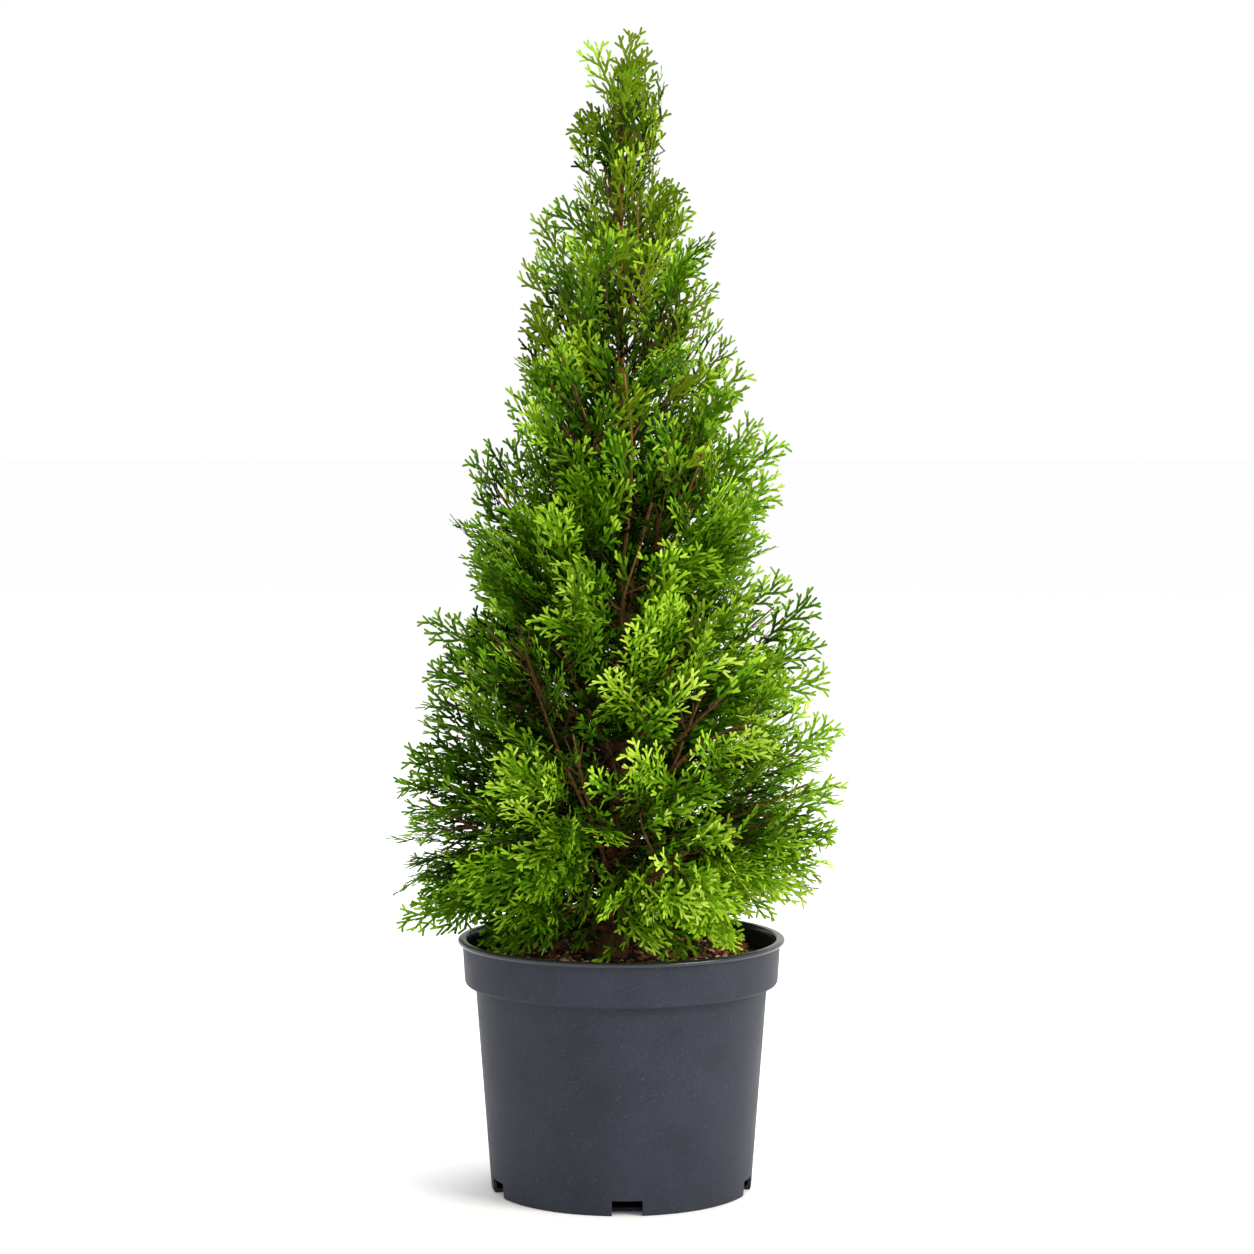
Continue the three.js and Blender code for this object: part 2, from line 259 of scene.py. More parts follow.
def makePot(material):
    p = potShape
    lipLow = p["lipTop"] - p["lipThick"]
    # radius, height and rounding of each corner, up the outside and down the inside
    outline = [
        (0, 0, 0),
        (p["baseRadius"], 0, 1.6),
        (p["wallTop"], p["collarHeight"] - 3.2, 1.2),
        (p["wallTop"] + 0.5, p["collarHeight"], 1.0),
        (p["collarFoot"], p["collarHeight"], 3.0),
        (p["collarTop"], lipLow - 0.9, 0.9),
        (p["lipRadius"] - 0.2, lipLow - 0.2, 1.3),
        (p["lipRadius"], p["lipTop"] - 0.8, 1.2),
        (p["lipRadius"] - 2.2, p["lipTop"] + 0.1, 1.2),
        (p["lipRadius"] - p["lipWidth"], p["lipTop"] - 0.3, 0.9),
        (p["collarTop"] - p["wall"] - 1.4, lipLow - 1.2, 1.0),
        (p["collarFoot"] - p["wall"] - 0.5, p["collarHeight"] + 1.6, 2.0),
        (p["wallTop"] - p["wall"], p["collarHeight"] - 1.0, 1.5),
        (p["baseRadius"] - p["wall"], p["floor"], 1.5),
        (0, p["floor"], 0),
    ]
    profile = rounded(outline)
    sides = p["sides"]
    angles = np.arange(sides) / sides * 2 * np.pi
    points = [(0, 0, profile[0][1] * mm)]
    for x, z in profile[1:-1]:
        points += [(x * math.cos(a) * mm, x * math.sin(a) * mm, z * mm) for a in angles]
    points.append((0, 0, profile[-1][1] * mm))
    rows = len(profile) - 2
    faces = []
    for i in range(sides):
        j = (i + 1) % sides
        faces.append((0, 1 + j, 1 + i))
        for r in range(rows - 1):
            a = 1 + r * sides
            faces.append((a + i, a + j, a + sides + j, a + sides + i))
        a = 1 + (rows - 1) * sides
        faces.append((a + i, a + j, len(points) - 1))
    pot = meshObject("pot before notches", points, faces)
    cutter = bmesh.new()
    for k in range(notches["count"]):
        angle = math.radians(notches["turn"] - 90 + k * 360 / notches["count"])
        made = bmesh.ops.create_cube(cutter, size=1)
        inner = p["baseRadius"] - notches["depth"]
        outer = p["baseRadius"] + notches["past"]
        c, s = math.cos(angle), math.sin(angle)
        for v in made["verts"]:
            x = (inner + outer) / 2 + v.co.x * (outer - inner)
            y = v.co.y * notches["width"]
            z = v.co.z * 2 * notches["height"]
            v.co = Vector((x * c - y * s, x * s + y * c, z)) * mm
    tool = fromBmesh("notch cutters", cutter)
    cut = pot.modifiers.new("notches", "BOOLEAN")
    cut.object = tool
    cut.operation = "DIFFERENCE"
    cut.solver = "EXACT"
    made = evaluated(pot, "nursery_pot", material)
    bpy.data.objects.remove(tool)
    made.data.polygons.foreach_set("use_smooth", np.ones(len(made.data.polygons), bool))
    made.data.set_sharp_from_angle(angle=math.radians(p["sharpFrom"]))
    return made


# satin slate-grey polypropylene: a fine moulded grain, faint scuffs, and a shinier lip, drawn darker as
# painted shade
potMaterial, tree, shader, place = newMaterial("moulded polypropylene, slate grey", "#30333b", 0.5, 0.1)
cloud = addNode(tree, "ShaderNodeTexNoise", {
    "Vector": place, "Scale": 1 / (38 * mm), "Detail": 3, "Roughness": 0.55,
})
grain = addNode(tree, "ShaderNodeTexNoise", {"Vector": place, "Scale": 1 / (1.1 * mm), "Detail": 2})
hairs = addNode(tree, "ShaderNodeTexNoise", {
    "Vector": place, "Scale": 1 / (2.6 * mm), "Detail": 1, "Distortion": 2.5,
})
scratched = addNode(tree, "ShaderNodeMapRange", {
    "Value": hairs.outputs["Fac"], "From Min": 0.64, "From Max": 0.76, "To Max": 0.5,
})
tone = addNode(tree, "ShaderNodeValToRGB", {"Fac": cloud.outputs["Fac"]}, stops=[
    (0.3, linear(potColours["dark"])), (0.72, linear(potColours["light"])),
])
speck = addNode(tree, "ShaderNodeMix", {
    "Factor": grain.outputs["Fac"], 6: (0.7, 0.7, 0.7, 1), 7: (1.3, 1.3, 1.3, 1),
}, data_type="RGBA")
flecked = addNode(tree, "ShaderNodeMix", {
    "Factor": 1.0, 6: tone.outputs["Color"], 7: speck.outputs[2],
}, data_type="RGBA", blend_type="MULTIPLY")
worn = addNode(tree, "ShaderNodeMix", {
    "Factor": scratched.outputs["Result"], 6: flecked.outputs[2], 7: linear(potColours["scuff"]),
}, data_type="RGBA")
height = addNode(tree, "ShaderNodeSeparateXYZ", {"Vector": place})
atLip = addNode(tree, "ShaderNodeMapRange", {
    "Value": height.outputs["Z"], "From Min": 170.6 * mm, "From Max": 171.6 * mm,
})
# painted shade: the band of the lip is drawn in a darker colour
lipPaintedShade = addNode(tree, "ShaderNodeMix", {
    "Factor": atLip.outputs["Result"], 6: worn.outputs[2], 7: linear(potColours["lip"]),
}, data_type="RGBA")
tree.links.new(lipPaintedShade.outputs[2], shader.inputs["Base Color"])
gloss = addNode(tree, "ShaderNodeMapRange", {
    "Value": cloud.outputs["Fac"], "From Min": 0.3, "From Max": 0.7, "To Min": 0.44, "To Max": 0.56,
})
for socket, wall, lip in (("Roughness", gloss.outputs["Result"], 0.24), ("Specular IOR Level", 0.1, 0.55)):
    addNode(tree, "ShaderNodeMix", {
        "Factor": atLip.outputs["Result"], "A": wall, "B": lip,
    }, into=shader.inputs[socket], data_type="FLOAT")
addNode(tree, "ShaderNodeBump", {
    "Height": grain.outputs["Fac"], "Strength": 0.25, "Distance": 0.12 * mm,
}, into=shader.inputs["Normal"])

potPiece = makePot(potMaterial)
finishPiece(potPiece, ["pot"])
print("pot:", len(potPiece.data.polygons), "faces")


# trees of nodes: one sets a small shape on every point, the other draws twigs along their paths

def newTree(name, **inputs):
    # a tree with a geometry in and out, and its named inputs
    tree = bpy.data.node_groups.new(name, "GeometryNodeTree")
    for label, kind in (("Geometry", "Geometry"), *inputs.items()):
        tree.interface.new_socket(label, in_out="INPUT", socket_type="NodeSocket" + kind)
    tree.interface.new_socket("Geometry", in_out="OUTPUT", socket_type="NodeSocketGeometry")
    return tree, addNode(tree, "NodeGroupInput").outputs


def endTree(tree, geometry, material):
    real = addNode(tree, "GeometryNodeRealizeInstances", {"Geometry": geometry})
    clad = addNode(tree, "GeometryNodeSetMaterial", {"Geometry": real.outputs[0], "Material": material})
    addNode(tree, "NodeGroupOutput", {"Geometry": clad.outputs[0]})
    return tree


def scatterTree():
    # each point carries heading, facing and size: the shape's X axis, its Z axis and its three scales
    tree, given = newTree("set shapes on points", Shape="Object", Material="Material", Size="Float")
    shape = addNode(tree, "GeometryNodeObjectInfo", {"Object": given["Shape"]})
    heading, facing, size = (
        addNode(tree, "GeometryNodeInputNamedAttribute", {"Name": name}, data_type="FLOAT_VECTOR").outputs[0]
        for name in ("heading", "facing", "size")
    )
    turn = addNode(tree, "FunctionNodeAxesToRotation", {
        "Primary Axis": facing, "Secondary Axis": heading,
    }, primary_axis="Z", secondary_axis="X")
    scaled = addNode(tree, "ShaderNodeVectorMath", {0: size, "Scale": given["Size"]}, operation="SCALE")
    placed = addNode(tree, "GeometryNodeInstanceOnPoints", {
        "Points": given["Geometry"],
        "Instance": shape.outputs["Geometry"],
        "Rotation": turn.outputs["Rotation"],
        "Scale": scaled.outputs[0],
    })
    return endTree(tree, placed.outputs[0], given["Material"])


def pathTree():
    # a round section drawn along every polyline, as thick as its points say
    tree, given = newTree("twigs along paths", Material="Material", Sides="Int")
    thick = addNode(tree, "GeometryNodeInputNamedAttribute", {"Name": "thick"}, data_type="FLOAT")
    path = addNode(tree, "GeometryNodeMeshToCurve", {"Mesh": given["Geometry"]})
    ring = addNode(tree, "GeometryNodeCurvePrimitiveCircle", {"Resolution": given["Sides"], "Radius": 1.0})
    tube = addNode(tree, "GeometryNodeCurveToMesh", {
        "Curve": path.outputs[0],
        "Profile Curve": ring.outputs[0],
        "Scale": thick.outputs["Attribute"],
        "Fill Caps": True,
    })
    soft = addNode(tree, "GeometryNodeSetShadeSmooth", {"Geometry": tube.outputs[0]})
    return endTree(tree, soft.outputs[0], given["Material"])


def madeBy(tree, holder, name, **inputs):
    # what a tree of nodes makes of the holder's points or edges, as a plain mesh
    modifier = holder.modifiers.new("nodes", "NODES")
    modifier.node_group = tree
    for socket in tree.interface.items_tree:
        if socket.in_out == "INPUT" and socket.name in inputs:
            modifier[socket.identifier] = inputs[socket.name]
    return evaluated(holder, name, inputs["Material"])


def scatter(name, shape, material, places, heading, facing, size):
    holder = meshObject(name + " points", places, [])
    for label, values in (("heading", heading), ("facing", facing), ("size", size)):
        attribute = holder.data.attributes.new(label, "FLOAT_VECTOR", "POINT")
        attribute.data.foreach_set("vector", np.asarray(values, np.float32).ravel())
    return madeBy(shapesOnPoints, holder, name, Shape=shape, Material=material, Size=1.0)


shapesOnPoints = scatterTree()
tubesOnPaths = pathTree()


# potting soil: moist bark compost

soilShape = {
    # mm
    "level": 160.0,
    "radius": 104.6,
    "foot": 140.0,
    "footRadius": 99.5,
    "ripple": 2.2,
    "chipsWithin": 101.5,
    "rings": 44,
    "sides": 132,
    "seed": 12,
}
chipMix = {
    # name: count, shortest and longest in mm, colour
    "dark_bark": (760, 3.0, 10.0, "#2e1a10"),
    "red_bark": (760, 3.0, 11.0, "#8f5330"),
    "pale_bark": (420, 2.5, 8.5, "#d0a778"),
    "grit": (90, 1.2, 2.6, "#cdbca4"),
}


def soilHeight(x, y):
    wave = np.sin(x * 71 + 1.3) * np.cos(y * 83 - 0.4) + 0.6 * np.sin(x * 160 - y * 130)
    fine = np.sin(x * 410 + 2 * np.sin(y * 300)) * np.cos(y * 370 + 1.5 * np.sin(x * 290))
    return (soilShape["level"] - 0.6 + soilShape["ripple"] * (wave / 1.6 * 0.75 + 0.25 * fine)) * mm


def makeSoil(material):
    s = soilShape
    rings, sides = s["rings"], s["sides"]
    points = [(0, 0, float(soilHeight(0, 0)))]
    for r in range(1, rings + 1):
        radius = s["radius"] * mm * r / rings
        for i in range(sides):
            a = (i + 0.5 * (r % 2)) / sides * 2 * np.pi
            x, y = radius * math.cos(a), radius * math.sin(a)
            points.append((x, y, float(soilHeight(x, y))))
    low = len(points)
    for i in range(sides):
        a = (i + 0.5 * (rings % 2)) / sides * 2 * np.pi
        radius = s["footRadius"] * mm
        points.append((radius * math.cos(a), radius * math.sin(a), s["foot"] * mm))
    points.append((0, 0, s["foot"] * mm))
    faces = []
    for i in range(sides):
        j = (i + 1) % sides
        faces.append((0, 1 + i, 1 + j))
        for r in range(rings - 1):
            a, b = 1 + r * sides, 1 + (r + 1) * sides
            faces.append((a + i, b + i, b + j, a + j))
        top = 1 + (rings - 1) * sides
        faces.append((top + i, low + i, low + j, top + j))
        faces.append((low + i, low + sides, low + j))
    return meshObject("soil", points, faces, material)


# dark moist compost: matt crumbs with a brown cast between the chips of bark
soilMaterial, tree, shader, place = newMaterial("moist bark compost", "#1d110a", 0.92, 0.3)
crumbs = addNode(tree, "ShaderNodeTexNoise", {
    "Vector": place, "Scale": 1 / (2.4 * mm), "Detail": 4, "Roughness": 0.7,
})
addNode(tree, "ShaderNodeValToRGB", {"Fac": crumbs.outputs["Fac"]}, stops=[
    (0.38, linear("#0d0704")), (0.55, linear("#27160c")), (0.72, linear("#4a2d1a")),
], into=shader.inputs["Base Color"])
addNode(tree, "ShaderNodeBump", {
    "Height": crumbs.outputs["Fac"], "Strength": 0.9, "Distance": 1.2 * mm,
}, into=shader.inputs["Normal"])
soilPiece = makeSoil(soilMaterial)
finishPiece(soilPiece, ["potting_soil"])


def chipShape(name, seed, flat):
    # a broken flake of bark: a low ball pushed in at random
    rng = np.random.default_rng(seed)
    ball = bmesh.new()
    bmesh.ops.create_icosphere(ball, subdivisions=1, radius=0.5)
    for v in ball.verts:
        v.co = Vector(np.array(v.co) * (1, 0.55, flat) * rng.uniform(0.7, 1.25))
    return fromBmesh(name, ball)


rng = np.random.default_rng(soilShape["seed"])
for k, (name, (count, shortest, longest, colour)) in enumerate(chipMix.items()):
    # split conifer bark and some grit: damp, so matt with a slight sheen
    material, tree, shader, place = newMaterial(name.replace("_", " "), colour, 0.75, 0.35)
    fibres = addNode(tree, "ShaderNodeTexNoise", {"Vector": place, "Scale": 1 / (0.9 * mm), "Detail": 2})
    addNode(tree, "ShaderNodeBump", {
        "Height": fibres.outputs["Fac"], "Strength": 0.6, "Distance": 0.4 * mm,
    }, into=shader.inputs["Normal"])
    shape = chipShape(name + " shape", 30 + k, 0.34 if "bark" in name else 0.8)
    angle = rng.uniform(0, 2 * np.pi, count)
    radius = soilShape["chipsWithin"] * mm * np.sqrt(rng.uniform(0.02, 1, count))
    x, y = radius * np.cos(angle), radius * np.sin(angle)
    length = rng.uniform(shortest, longest, count) * mm * rng.uniform(0.6, 1, count)
    z = soilHeight(x, y) + rng.uniform(-0.1, 0.9, count) * 1.1 * mm
    facing = unit(np.stack([rng.normal(0, 0.42, count), rng.normal(0, 0.42, count), np.ones(count)], 1))
    heading = unit(np.stack([rng.normal(0, spread, count) for spread in (1, 1, 0.2)], 1))
    size = np.stack([length, *(length * rng.uniform(0.7, most, count) for most in (1.3, 1.4))], 1)
    chips = scatter(name, shape, material, np.stack([x, y, z], 1), heading, facing, size)
    bpy.data.objects.remove(shape)
    finishPiece(chips)
print("soil and chips made")


# limbs: the trunk and boughs, and how the boughs run on inside their masses

# ridges as a share of the radius; the bark is drawn a little inside the solid
trunkShape = {"sides": 30, "steps": 240, "ridge": 0.035, "slim": 0.86, "seed": 3}
boughSteps, shownSteps = 26, 22  # points along a bough, and along a limb that shows


def trunkLine():
    # centre and radius of the trunk at the heights where its solid has rings
    co = cornersOf("trunk")
    heights = np.unique(np.round(co[:, 2], 4))
    rows = []
    for z in heights:
        ring = co[np.abs(co[:, 2] - z) < 2e-4]
        if len(ring) < 6:
            continue
        centre = ring.mean(0)
        outer = np.linalg.norm(ring[:, :2] - centre[:2], axis=1)
        rows.append((z, centre[0], centre[1], outer[outer > outer.max() * 0.5].mean()))
    return np.array(rows)


trunkRows = trunkLine()


def trunkAt(z):
    # x, y and radius
    return np.array([np.interp(z, trunkRows[:, 0], trunkRows[:, k]) for k in (1, 2, 3)])


def trunkCentre(z):
    return np.array([*trunkAt(z)[:2], z])


def boughLine(name):
    # a smooth line through a bough's solid, from the trunk outwards, and its mean radius
    co = cornersOf(name)
    axis = trunkAt(co[:, 2].min())[:2]
    distance = np.linalg.norm(co[:, :2] - axis, axis=1)
    inner = co[np.argsort(distance)[:6]].mean(0)
    outer = co[np.argsort(-distance)[:6]].mean(0)
    chord = outer - inner
    t = ((co - inner) @ chord) / (chord @ chord)
    fit = [np.polyfit(t, co[:, k], 2) for k in range(3)]
    along = np.linspace(0, 1, 9)
    line = np.stack([np.polyval(f, along) for f in fit], 1)
    near = np.stack([np.polyval(f, t) for f in fit], 1)
    return line, np.linalg.norm(co - near, axis=1).mean()


def tube(path, radii, sides, ridge, rng):
    # a closed tube with lengthwise ridges, from rings square to the path
    path = np.asarray(path)
    tangent = unit(np.gradient(path, axis=0))
    side = unit(np.cross(tangent[0], [0.3, 0.9, 0.1]))
    phases = rng.uniform(0, 2 * np.pi, 5)
    points = []
    angle = np.arange(sides) / sides * 2 * np.pi
    for centre, t, radius, s in zip(path, tangent, radii, runAlong(path)):
        side = unit(side - t * (side @ t))
        across = np.cross(t, side)
        relief = (
            np.sin(angle * 5 + phases[0] + s * 14)
            + np.sin(angle * 9 + phases[1] - s * 21)
            + 0.8 * np.sin(angle * 13 + phases[2] + 2.5 * np.sin(s * 90 + phases[3]))
            + 0.5 * np.sin(angle * 3 + s * 160 + phases[4])
        )
        r = radius * (1 + ridge * relief)
        points.append(centre + np.outer(np.cos(angle) * r, side) + np.outer(np.sin(angle) * r, across))
    points = np.concatenate(points)
    faces = []
    rows = len(path)
    for k in range(rows - 1):
        for i in range(sides):
            j = (i + 1) % sides
            a = k * sides
            faces.append((a + i, a + j, a + sides + j, a + sides + i))
    faces.append(tuple(range(sides))[::-1])
    faces.append(tuple(range((rows - 1) * sides, rows * sides)))
    return points, faces


def smoothPath(points, count):
    # Catmull-Rom through the points, evenly spaced
    p = np.asarray(points, float)
    p = np.concatenate([[2 * p[0] - p[1]], p, [2 * p[-1] - p[-2]]])
    out = []
    for i in range(1, len(p) - 2):
        for t in np.linspace(0, 1, 12, endpoint=False):
            a, b, c, d = p[i - 1:i + 3]
            bend, turn = 2 * a - 5 * b + 4 * c - d, 3 * b - a - 3 * c + d
            out.append(0.5 * (2 * b + (c - a) * t + bend * t * t + turn * t ** 3))
    out.append(p[-2])
    out = np.array(out)
    run = runAlong(out)
    return readOff(np.linspace(0, run[-1], count), run, out)


habit = {
    "seed": 5,
    # depth in the crown in mm, and mm between the tips of sprays down to there
    "tipSpacing": ((14.0, 16.0), (44.0, 17.0), (400.0, 17.2)),
    "tryEach": 700,  # cubic mm in which one point is tried
    "lowest": 168,  # mm, of a spray's tip
    "uneven": 9,  # mm that the face of the crown wanders in and out
    "wander": 0.95,
    "outward": 0.88,
    # height in mm, and how far a spray's tip may stand out of its mass there
    "overshoot": ((225, 11), (245, 4), (300, 1), (560, -1), (650, 2), (700, -3), (790, -2)),
    # height in mm, and how steeply sprays rise there, in degrees
    "rise": (
        (150, -48), (195, -28), (235, -6), (270, 8), (330, 22),
        (420, 36), (520, 47), (620, 58), (700, 68), (800, 80),
    ),
    # sprays at the top of the leader: foot height, azimuth, lean and length
    "leader": (
        (754, 20, 3, 42), (740, 178, 29, 52), (738, -20, 17, 38),
        (730, 95, 20, 44), (722, -88, 20, 42), (712, 200, 26, 42),
    ),
    # height in mm, and the length of a spray there
    "length": ((150, 60), (230, 78), (400, 76), (560, 64), (660, 52), (740, 44), (800, 34)),
    # limbs that show in front, each from the trunk outwards, in mm
    "showing": (
        ((-6, -12, 181), (-12, -30, 233), (-30, -52, 282), (-40, -60, 304), (-54, -68, 344)),
        ((-2, -10, 276), (-8, -24, 305), (-19, -40, 328), (-32, -52, 357), (-41, -60, 390)),
        ((-51, -46, 339), (-60, -51, 362), (-66, -54, 384)),
        ((-2, -10, 236), (9, -28, 257), (33, -48, 294), (45, -56, 325), (56, -62, 352)),
        ((33, -48, 294), (53, -56, 313), (80, -62, 327)),
        ((12, -14, 318), (33, -44, 364), (56, -58, 412)),
        ((4, -8, 400), (15, -26, 456), (37, -46, 524)),
        ((1, -6, 380), (0, -26, 425), (5, -34, 463), (7, -38, 517), (2, -37, 562)),
    ),
    "shownRadius": (1.75, 0.8),  # mm, at their two ends
    "stemShows": (560, 690),  # heights in mm between which the trunk itself shows in front
    "clearance": 4.6,  # mm that a share of the sprays keeps off all of these
    "clearShare": 0.75,
    # the share of the outermost sprays, up to a height, that run out past the rest
    "leading": {
        "share": 0.24, "within": 9, "below": 680, "past": (6, 21), "reach": 160,
        "rise": ((180, -12), (260, 6), (400, 26), (700, 52)),
    },
    # the share of the lowest sprays in front that are missing, over the soil
    "bareFoot": {"share": 0.68, "below": 200, "front": -20},
    # short sprays on the trunk itself: from and to which height, how far apart, their lean and length
    "onTrunk": {
        "from": 190, "to": 712, "step": 4.6, "closer": ((220, 0.55), (340, 1.0)), "twig": 0.8,
        "lean": ((200, 75), (450, 52), (650, 42), (712, 22)), "length": ((200, 58), (640, 58), (712, 42)),
    },
}
goldenAngle = math.radians(137.5)


# what the branching rule has grown so far
limbs = []  # path, radii, sides
twigs = []  # path, radii
fronds = []  # start, direction, normal, length, depth
rng = np.random.default_rng(habit["seed"])


def lookUp(table, value):
    return np.interp(value, *np.array(table, float).T)


def atHeight(table, z):
    return lookUp(table, z / mm)


def drift(point, k):
    # a smooth wander through space, from -1 to 1, so that neighbouring sprays lie alike
    x, y, z = point
    slow = math.sin(61 * x - 38 * z + 2.1 * k) * math.cos(57 * y + 29 * z + k)
    return 0.5 * (slow + math.sin(74 * z + 48 * (y - x) + 3.7 * k))


def outwardAt(point):
    outward = point - trunkCentre(point[2])
    outward[2] = 0
    return unit(outward)


def growthDirection(point):
    # outwards from the trunk, up or down as shoots do at this height, and wandering to the side
    outward = outwardAt(point)
    rise = math.radians(atHeight(habit["rise"], point[2]) + 16 * drift(point, 1))
    swing = drift(point, 2)
    wander = habit["wander"] * np.interp(abs(outward[0]), [0.5, 0.85], [1.0, 0.4])
    aside = np.cross(up, outward) * math.copysign(wander * (0.4 + 0.8 * abs(swing)), swing)
    return unit(outward * math.cos(rise) * habit["outward"] + up * math.sin(rise) + aside)


surfaces = {name: surfaceOf([name]) for name in masses}
crown = surfaceOf(masses)


def depthInCrown(point, direction):
    # how far it is to the last of the masses that a line along the growth direction meets
    here, gone, skip = Vector(point), 0.0, 2e-4
    for _ in range(12):
        hit = crown.ray_cast(here, Vector(direction), 0.4)
        if hit[0] is None:
            break
        gone += hit[3] + skip
        here = here + Vector(direction) * (hit[3] + skip)
    return gone


def outsideBy(surface, point):
    # distance out of a closed surface, less than nothing inside it
    near, normal, _, distance = surface.find_nearest(Vector(point))
    return distance if (Vector(point) - near).dot(normal) > 0 else -distance


def sprayTips():
    # where sprays end: points scattered through the masses, close together near the outside
    found = []
    for name in masses:
        corners = cornersOf(name)
        low, high = corners.min(0) - 8 * mm, corners.max(0) + 8 * mm
        tries = int(np.prod((high - low) / mm) / habit["tryEach"])
        for point in rng.uniform(low, high, (tries, 3)):
            out = outsideBy(surfaces[name], point)
            allowed = atHeight(habit["overshoot"], point[2]) + habit["uneven"] * drift(point * 1.5, 5)
            if out > allowed * mm or point[2] < habit["lowest"] * mm:
                continue
            direction = growthDirection(point)
            depth = depthInCrown(point, direction)
            if out > 0 and depth > 0:
                continue
            found.append((name, point, direction, depth))
    order = rng.permutation(len(found))
    found = [found[i] for i in order]
    found.sort(key=lambda f: sum(f[3] / mm > limit for limit, _ in habit["tipSpacing"]))
    cell = 34 * mm  # of a grid that finds the points near another
    around = [(i, j, k) for i in (-1, 0, 1) for j in (-1, 0, 1) for k in (-1, 0, 1)]
    grid, kept = {}, []
    for name, point, direction, depth in found:
        spacing = next(gap for limit, gap in habit["tipSpacing"] if depth / mm <= limit) * mm
        # closer near the top, and more open at the sides
        spacing *= np.interp(point[2], [0.6, 0.75], [1.0, 0.95])
        spacing *= np.interp(abs(point[0]), [0.07, 0.11], [1.0, 1.1])
        x, y, z = (point // cell).astype(int)
        near = (grid.get((x + i, y + j, z + k), ()) for i, j, k in around)
        if any(np.linalg.norm(point - other) < spacing for group in near for other in group):
            continue
        grid.setdefault((x, y, z), []).append(point)
        kept.append((name, point, direction, depth))
    return kept


def addFrond(start, direction, length, depth, leading=False):
    # its face looks out of the crown, or at the sides of the crown mostly to the front or back
    outward = outwardAt(start + direction * length * 0.5)
    radial = unit(outward - direction * (direction @ outward) + up * 0.02)
    tangential = np.cross(direction, radial)
    roll = (0.35 if leading else 1.05 - 0.35 * max(-outward[1], 0)) * drift(start, 3) + rng.normal(0, 0.22)
    faces = [radial * math.cos(r) + tangential * math.sin(r) for r in (roll, roll + math.pi / 2)]
    sideways = bool(abs(outward[0]) > 0.62 and (leading or drift(start, 4) + rng.normal(0, 0.3) < 0.15))
    fronds.append((start, direction, unit(faces[sideways]), length, depth))


def skeletonOf(path, radii):
    # places, directions and radii that twigs spring from, to which each new twig adds its own
    return [list(path), list(unit(np.gradient(path, axis=0))), list(radii)]


def growTwig(skeleton, base, direction):
    # a twig from the best place on the skeleton to the foot of a spray
    places, tangents, radii = (np.array(v) for v in skeleton)
    gap = base - places
    distance = np.linalg.norm(gap, axis=1) + 1e-6
    turn = np.einsum("ij,ij->i", gap, tangents) / distance
    cost = distance + 40 * mm * (1 - turn) + 60 * mm * (turn < 0.25)  # near, and the way the limb runs
    pick = int(np.argmin(cost))
    start, tangent, thick = places[pick], tangents[pick], radii[pick]
    reach = distance[pick]
    leave = start + unit(tangent * 0.4 + gap[pick] / reach) * reach * 0.33
    arrive = base - unit(direction * 0.5 + gap[pick] / reach) * reach * 0.3
    count = 5 if reach > 22 * mm else 4
    t = np.linspace(0, 1, count)[:, None]
    path = (1 - t) ** 3 * start + 3 * t * (1 - t) ** 2 * leave + 3 * t * t * (1 - t) * arrive + t ** 3 * base
    path[1:-1] += rng.normal(0, 0.5 * mm, (count - 2, 3))
    first = min(thick * 0.8, 1.5 * mm)
    thickness = np.linspace(first, min(first, 0.6 * mm), count)
    for row, more in zip(skeleton, (path[1:], unit(np.diff(path, axis=0)), thickness[1:])):
        row += list(more)
    return path, thickness


def boughSkeleton(name, massName):
    # the bough's own line, carried on through its mass to the far end
    line, radius = boughLine(name)
    corners = cornersOf(massName)
    middle = (corners.min(0) + corners.max(0)) / 2
    entry = line[-1]
    away = unit(entry - line[0])
    ahead = unit(middle - entry)
    reachOf = (corners - entry) @ ahead - 0.25 * np.abs((corners - entry) @ np.cross(ahead, up))
    tip = entry + (corners[np.argmax(reachOf)] - entry) * 0.86
    start, inside = line[0] - away * radius * 0.6, entry + (middle - entry) * 0.8
    inner = smoothPath([start, line[4], entry, inside, tip], boughSteps)
    along = np.linspace(0, 1, boughSteps)
    radii = np.interp(along, [0, 0.4, 1], [radius * 0.85, radius * 0.62, 0.5 * mm])
    limbs.append((inner, radii, 10))
    return skeletonOf(inner, radii)


skeletons = {}
for name in boughs:
    massName = name.replace("bough", "foliage")
    skeletons[massName] = boughSkeleton(name, massName)
heights = np.linspace(0.60, trunkRows[-1, 0], 40)
stem = np.array([trunkCentre(z) for z in heights])
skeletons["foliage_leader"] = skeletonOf(stem, [trunkAt(z)[2] for z in heights])

shown = []
for path in habit["showing"]:
    path = smoothPath(np.array(path, float) * mm, shownSteps)
    radii = np.linspace(*habit["shownRadius"], shownSteps) * mm
    limbs.append((path, radii, 8))
    shown.append(path)
    holder = min(masses, key=lambda m: outsideBy(surfaces[m], path[-1]))
    for row, more in zip(skeletons[holder], skeletonOf(path, radii)):
        row += more[12:]  # twigs spring from its outer half
shown.append(np.array([trunkCentre(z * mm) for z in np.linspace(*habit["stemShows"], shownSteps)]))
shown = np.concatenate(shown)


def hidesLimb(points):
    # whether a spray would stand just in front of one of the limbs that show
    for p in points:
        near = np.hypot(shown[:, 0] - p[0], shown[:, 2] - p[2]) < habit["clearance"] * mm
        if np.any(near & (p[1] < shown[:, 1])):
            return True
    return False


